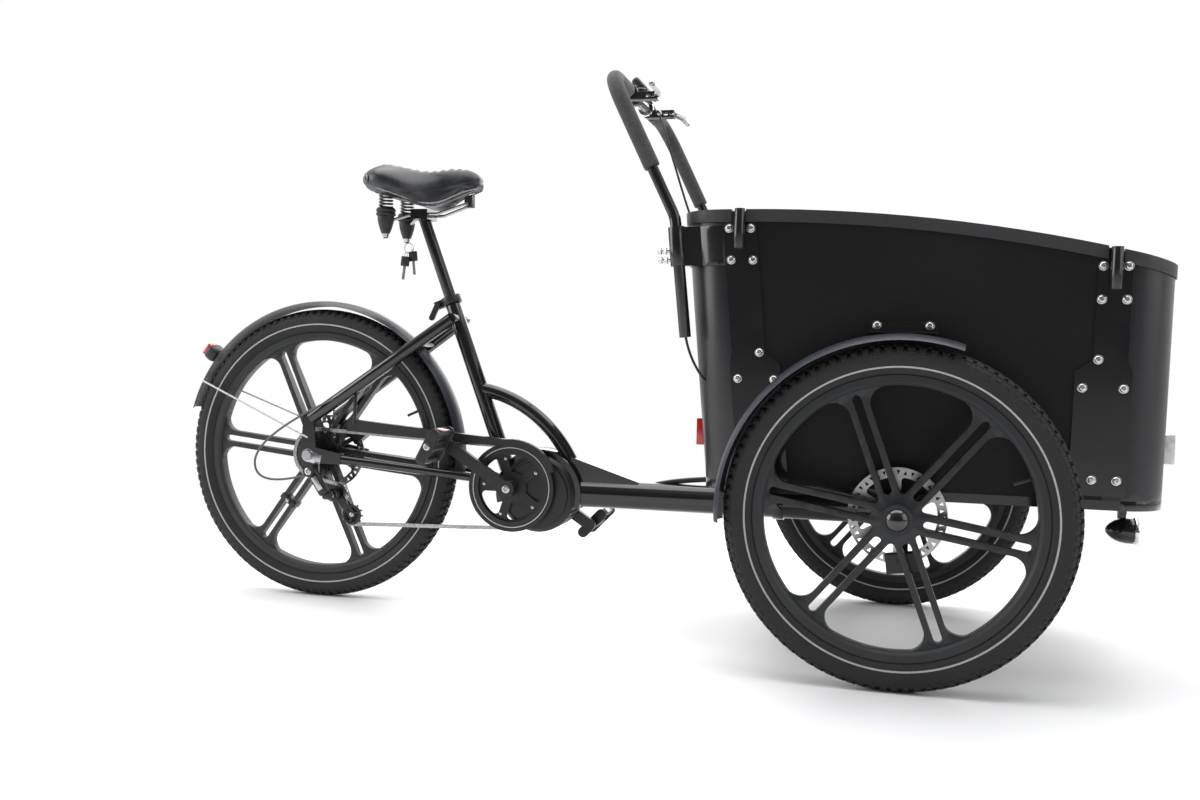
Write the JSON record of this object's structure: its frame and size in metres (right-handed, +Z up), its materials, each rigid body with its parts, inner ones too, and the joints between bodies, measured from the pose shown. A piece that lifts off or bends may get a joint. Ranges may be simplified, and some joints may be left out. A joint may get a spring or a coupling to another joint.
{
  "type": "cargo tricycle",
  "caption": "Front-loading cargo tricycle with a steered box between the front wheels, cast wheels, disc brakes, mid motor, chain drive, U-shaped handlebar and sprung saddle.",
  "frame": {"origin": "middle of the bounding box in plan, on the ground", "axes": "+X forward, +Y to the rider's left, +Z up"},
  "size_m": [2.1033, 0.82, 1.175],
  "materials": {
    "frame_black": "gloss black paint",
    "motor_black": "satin black casting",
    "steel": "bright steel",
    "crank_black": "satin black anodised",
    "pedal_black": "matte moulded",
    "fender_grey": "glossy dark blue-grey",
    "wheel_charcoal": "satin charcoal powder coat",
    "tyre_black": "matte rubber",
    "chrome": "polished",
    "box_side_black": "film-faced board, satin black",
    "box_bent_black": "bent board with a satin dark laminate",
    "trim_grey": "matte edge profile",
    "reflector_red": "clear red at the rear, clear white at the front",
    "bar_black": "gloss black",
    "foam_black": "matte foam",
    "saddle_black": "soft satin cover",
    "cable_black": "satin cable housing",
    "cable_grey": "satin grey cable housing"
  },
  "bodies": {
    "rear_frame": {"main_tube": "frame_black", "seat_tube": "frame_black", "arch_tube": "frame_black", "chainstays": "frame_black", "seatstays": "frame_black", "seat_clamp": "frame_black", "motor": "motor_black", "chain": "steel", "rear_axle": "steel", "derailleur_body": "motor_black", "chain_guard": "pedal_black", "rear_fender": "fender_grey", "rear_light": "pedal_black", "rear_caliper": "crank_black", "shift_cable": "cable_grey", "wiring_conduit": "cable_black"},
    "seat": {"seat_post": "steel", "saddle_frame": "chrome", "saddle_springs": "chrome"},
    "saddle_top": {"saddle": "saddle_black"},
    "quick_lever": {"seat_lever": "motor_black"},
    "crank": {"chainring": "steel", "crank_arms": "crank_black"},
    "right_pedal": {"pedal_right": "pedal_black"},
    "left_pedal": {"pedal_left": "pedal_black"},
    "cog_set": {"cassette": "steel"},
    "cage": {"derailleur_cage": "steel"},
    "upper_pulley": {"guide_pulley": "pedal_black"},
    "lower_pulley": {"tension_pulley": "pedal_black"},
    "back_wheel": {"rear_tyre": "tyre_black", "rear_wheel": "wheel_charcoal", "rear_disc": "steel"},
    "right_wheel": {"front_tyre_right": "tyre_black", "front_wheel_right": "wheel_charcoal", "front_disc_right": "steel", "front_hub_right": "chrome"},
    "left_wheel": {"front_tyre_left": "tyre_black", "front_wheel_left": "wheel_charcoal", "front_disc_left": "steel", "front_hub_left": "chrome"},
    "front_carriage": {"box_rear_panel": "box_bent_black", "box_front_panel": "box_bent_black", "box_sides": "box_side_black", "rim_trim": "trim_grey", "box_floor": "box_side_black", "corner_plates": "steel", "panel_bolts": "steel", "bar_clamps": "frame_black", "box_reflectors": "reflector_red", "carriage": "frame_black", "battery": "pedal_black", "front_fenders": "fender_grey", "front_calipers": "crank_black", "control_cables": "cable_black"},
    "bar": {"handlebar": "bar_black", "foam_grips": "foam_black", "bar_controls": "motor_black"},
    "right_lever": {"brake_lever_right": "bar_black"},
    "left_lever": {"brake_lever_left": "bar_black"},
    "lamp": {"head_lamp": "pedal_black"}
  },
  "joints": [
    {"name": "steer", "type": "hinge", "parent": "rear_frame", "child": "front_carriage", "pos_m": [0.58168, 0, 0.27], "axis": [0, 0, 1], "range_deg": [-35, 35], "deforming": ["wiring_conduit"]},
    {"name": "right_wheel_spin", "type": "hinge", "parent": "front_carriage", "child": "right_wheel", "pos_m": [0.58168, -0.365, 0.303], "axis": [0, 1, 0], "continuous": true},
    {"name": "left_wheel_spin", "type": "hinge", "parent": "front_carriage", "child": "left_wheel", "pos_m": [0.58168, 0.365, 0.303], "axis": [0, 1, 0], "continuous": true},
    {"name": "rear_wheel_spin", "type": "hinge", "parent": "rear_frame", "child": "back_wheel", "pos_m": [-0.71332, 0, 0.332], "axis": [0, 1, 0], "continuous": true},
    {"name": "crank_spin", "type": "hinge", "parent": "rear_frame", "child": "crank", "pos_m": [-0.23232, 0, 0.281], "axis": [0, 1, 0], "continuous": true, "deforming": ["chain"]},
    {"name": "cassette_spin", "type": "hinge", "parent": "rear_frame", "child": "cog_set", "pos_m": [-0.71332, -0.045, 0.332], "axis": [0, 1, 0], "continuous": true},
    {"name": "right_pedal_spin", "type": "hinge", "parent": "crank", "child": "right_pedal", "pos_m": [-0.37489, -0.145, 0.37359], "axis": [0, 1, 0], "continuous": true},
    {"name": "left_pedal_spin", "type": "hinge", "parent": "crank", "child": "left_pedal", "pos_m": [-0.08975, 0.145, 0.18841], "axis": [0, 1, 0], "continuous": true},
    {"name": "cage_swing", "type": "hinge", "parent": "rear_frame", "child": "cage", "pos_m": [-0.66232, -0.0286, 0.242], "axis": [0, 1, 0], "range_deg": [-10, 20], "stiffness_Nm_per_rad": 5},
    {"name": "guide_pulley_spin", "type": "hinge", "parent": "cage", "child": "upper_pulley", "pos_m": [-0.66232, -0.0286, 0.242], "axis": [0, 1, 0], "continuous": true},
    {"name": "tension_pulley_spin", "type": "hinge", "parent": "cage", "child": "lower_pulley", "pos_m": [-0.62222, -0.0286, 0.19603], "axis": [0, 1, 0], "continuous": true},
    {"name": "seat_height", "type": "slide", "parent": "rear_frame", "child": "seat", "axis": [-0.3518, 0, 0.9361], "range_m": [-0.04, 0.08]},
    {"name": "saddle_sag", "type": "hinge", "parent": "seat", "child": "saddle_top", "pos_m": [-0.36132, 0, 0.903], "axis": [0, -1, 0], "range_deg": [0, 2.5], "stiffness_Nm_per_rad": 900, "springref_deg": -0.57, "deforming": ["saddle_springs"]},
    {"name": "seat_lever_swing", "type": "hinge", "parent": "rear_frame", "child": "quick_lever", "pos_m": [-0.42899, -0.012, 0.67831], "axis": [0, 1, 0], "range_deg": [0, 110]},
    {"name": "bar_height", "type": "slide", "parent": "front_carriage", "child": "bar", "axis": [-0.1108, 0, 0.9938], "range_m": [0, 0.09], "deforming": ["control_cables"]},
    {"name": "right_lever_pull", "type": "hinge", "parent": "bar", "child": "right_lever", "pos_m": [0.07368, -0.092, 1.108], "axis": [0, 0, -1], "range_deg": [0, 18], "stiffness_Nm_per_rad": 3, "springref_deg": -8.59},
    {"name": "left_lever_pull", "type": "hinge", "parent": "bar", "child": "left_lever", "pos_m": [0.07368, 0.092, 1.108], "axis": [0, 0, 1], "range_deg": [0, 18], "stiffness_Nm_per_rad": 3, "springref_deg": -8.59},
    {"name": "lamp_tilt", "type": "hinge", "parent": "front_carriage", "child": "lamp", "pos_m": [1.00868, 0, 0.287], "axis": [0, 1, 0], "range_deg": [-20, 20]}
  ],
  "couplings": [
    {"joint": "cassette_spin", "follows": "crank_spin", "ratio": 1.5714},
    {"joint": "guide_pulley_spin", "follows": "crank_spin", "ratio": -4},
    {"joint": "tension_pulley_spin", "follows": "crank_spin", "ratio": 4}
  ]
}
